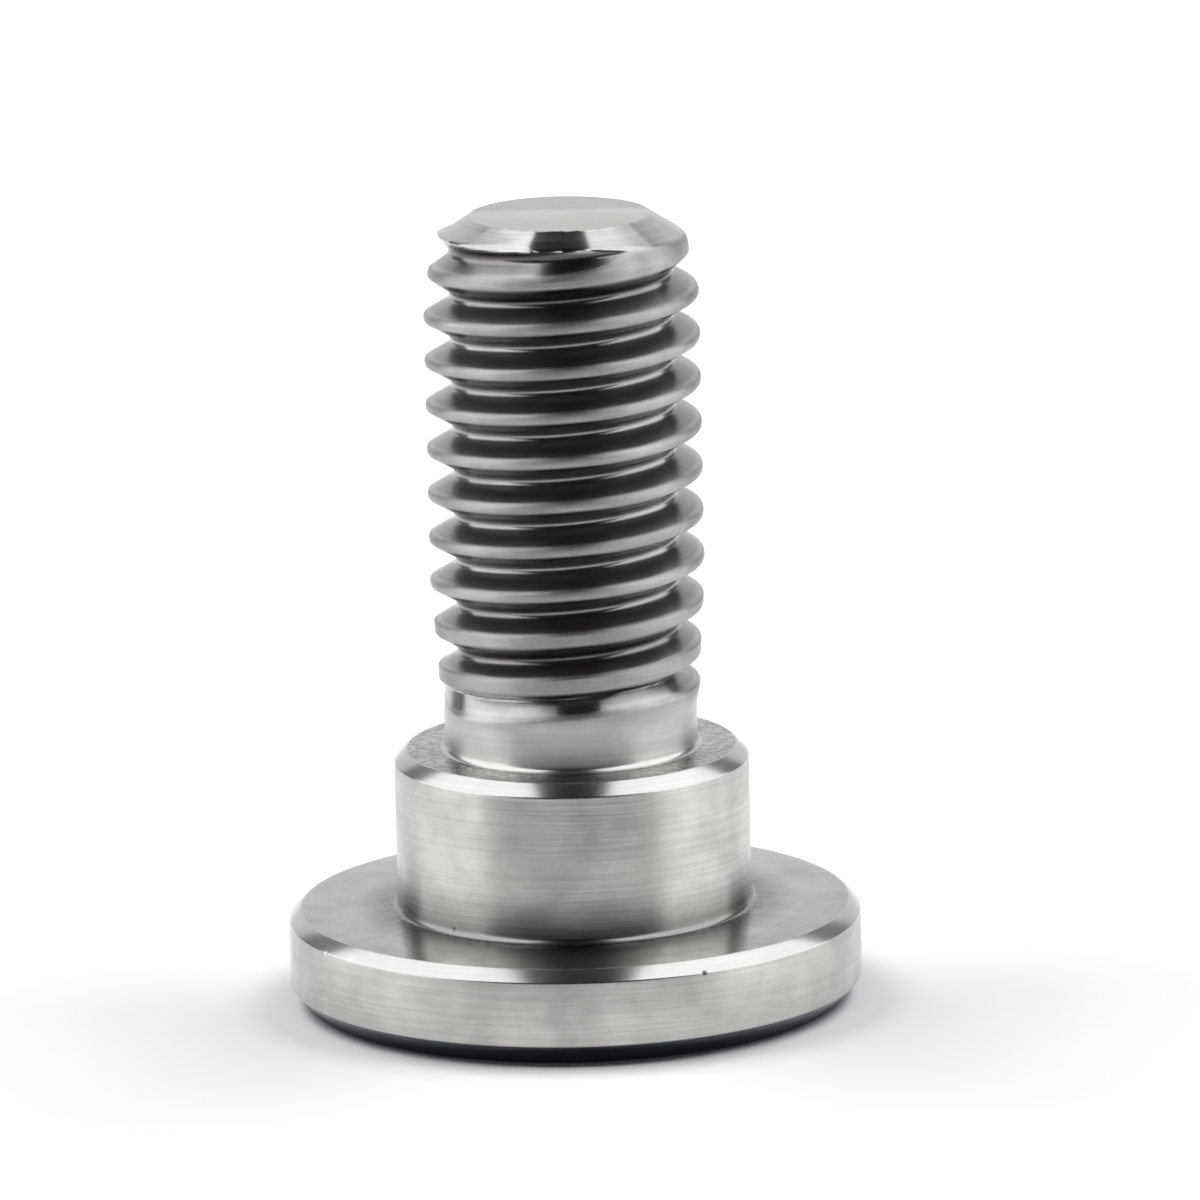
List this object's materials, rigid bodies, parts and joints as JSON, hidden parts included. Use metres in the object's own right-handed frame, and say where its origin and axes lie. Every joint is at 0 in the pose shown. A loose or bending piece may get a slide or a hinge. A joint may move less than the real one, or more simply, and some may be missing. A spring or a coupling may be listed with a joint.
{
  "type": "shoulder bolt",
  "caption": "Shoulder bolt with a wide low chamfered head, a short turned shoulder, a plain neck and a right-hand thread with a cone tip; hidden hexagon socket in the head.",
  "frame": {"origin": "on the bolt's axis, at the outer face of its head, which it stands on", "axes": "+Z along the bolt's axis from the head to the tip; +X and +Y across it, with two flats of the hexagon socket facing +Y and -Y"},
  "size_m": [0.016, 0.016, 0.0223],
  "materials": {
    "steel": "turned and rolled bare steel, satin on the cylinders, brighter on the chamfers"
  },
  "bodies": {
    "root": {"shoulder_bolt": "steel"}
  },
  "joints": []
}
